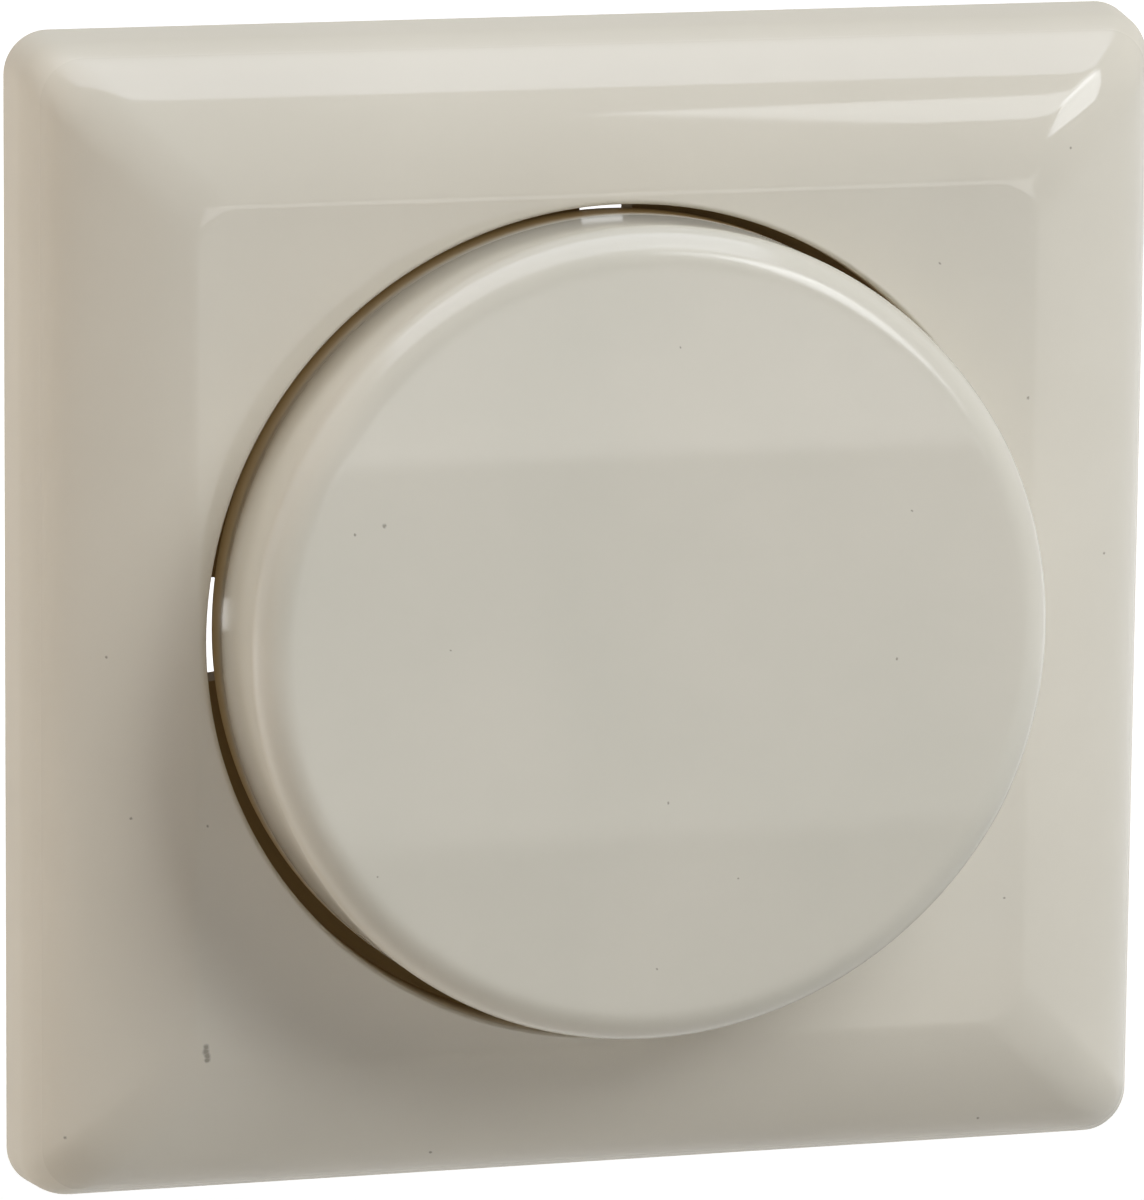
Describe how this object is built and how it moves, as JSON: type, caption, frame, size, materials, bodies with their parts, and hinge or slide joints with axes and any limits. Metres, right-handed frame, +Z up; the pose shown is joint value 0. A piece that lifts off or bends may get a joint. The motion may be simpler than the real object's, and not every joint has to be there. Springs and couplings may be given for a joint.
{
  "type": "rocker light switch",
  "caption": "Flush rocker light switch: square cushion-edged cover frame, round faceted rocker that tips to switch, and a screw-fixed insert with push-in wire clamps.",
  "frame": {"origin": "on the wall's surface, midway between the two round fixing holes of the support ring", "axes": "+X to the right, +Z up the wall; the front looks along -Y and the wall box lies at +Y"},
  "size_m": [0.08, 0.0451, 0.08],
  "materials": {
    "cream_plastic": "satin moulded",
    "white_plastic": "moulded",
    "grey_plastic": "moulded",
    "zinc_steel": "zinc plated",
    "spring_steel": "bright",
    "brass": "stamped",
    "contact_silver": "bright"
  },
  "bodies": {
    "frame_and_insert": {"cover_frame": "cream_plastic", "support_ring": "zinc_steel", "bearing_cover": "white_plastic", "base_housing": "grey_plastic", "housing_screws": "zinc_steel", "common_terminal": "brass", "upper_terminal": "brass", "lower_terminal": "brass", "fixed_contact_upper": "contact_silver", "fixed_contact_lower": "contact_silver", "clamp_spring_common": "spring_steel", "clamp_spring_upper": "spring_steel", "clamp_spring_lower": "spring_steel"},
    "rocker": {"rocker": "cream_plastic", "rocker_cradle": "white_plastic", "plunger_spring": "spring_steel"},
    "plunger": {"plunger": "white_plastic"},
    "contact_lever": {"contact_lever": "brass", "moving_contact_upper": "contact_silver", "moving_contact_lower": "contact_silver"},
    "release_common": {"release_button_common": "white_plastic"},
    "release_upper": {"release_button_upper": "white_plastic"},
    "release_lower": {"release_button_lower": "white_plastic"}
  },
  "joints": [
    {"name": "rocker_tilt", "type": "hinge", "parent": "frame_and_insert", "child": "rocker", "pos_m": [0, -0.004, 0], "axis": [1, 0, 0], "range_deg": [0, 4.4]},
    {"name": "contact_rock", "type": "hinge", "parent": "frame_and_insert", "child": "contact_lever", "pos_m": [0, 0.0118, 0], "axis": [1, 0, 0], "range_deg": [-10.4, 0.4]},
    {"name": "plunger_slide", "type": "slide", "parent": "rocker", "child": "plunger", "axis": [0, -0.9993, 0.0384], "range_m": [0, 0.001], "stiffness_N_per_m": 500, "springref_m": -0.002, "deforming": ["plunger_spring"]},
    {"name": "release_common_push", "type": "slide", "parent": "frame_and_insert", "child": "release_common", "axis": [0, -1, 0], "range_m": [0, 0.0012], "stiffness_N_per_m": 800, "springref_m": -0.0005, "deforming": ["clamp_spring_common"]},
    {"name": "release_upper_push", "type": "slide", "parent": "frame_and_insert", "child": "release_upper", "axis": [0, -1, 0], "range_m": [0, 0.0012], "stiffness_N_per_m": 800, "springref_m": -0.0005, "deforming": ["clamp_spring_upper"]},
    {"name": "release_lower_push", "type": "slide", "parent": "frame_and_insert", "child": "release_lower", "axis": [0, -1, 0], "range_m": [0, 0.0012], "stiffness_N_per_m": 800, "springref_m": -0.0005, "deforming": ["clamp_spring_lower"]}
  ],
  "couplings": [
    {"joint": "contact_rock", "follows": "rocker_tilt", "ratio": -2.2727}
  ]
}
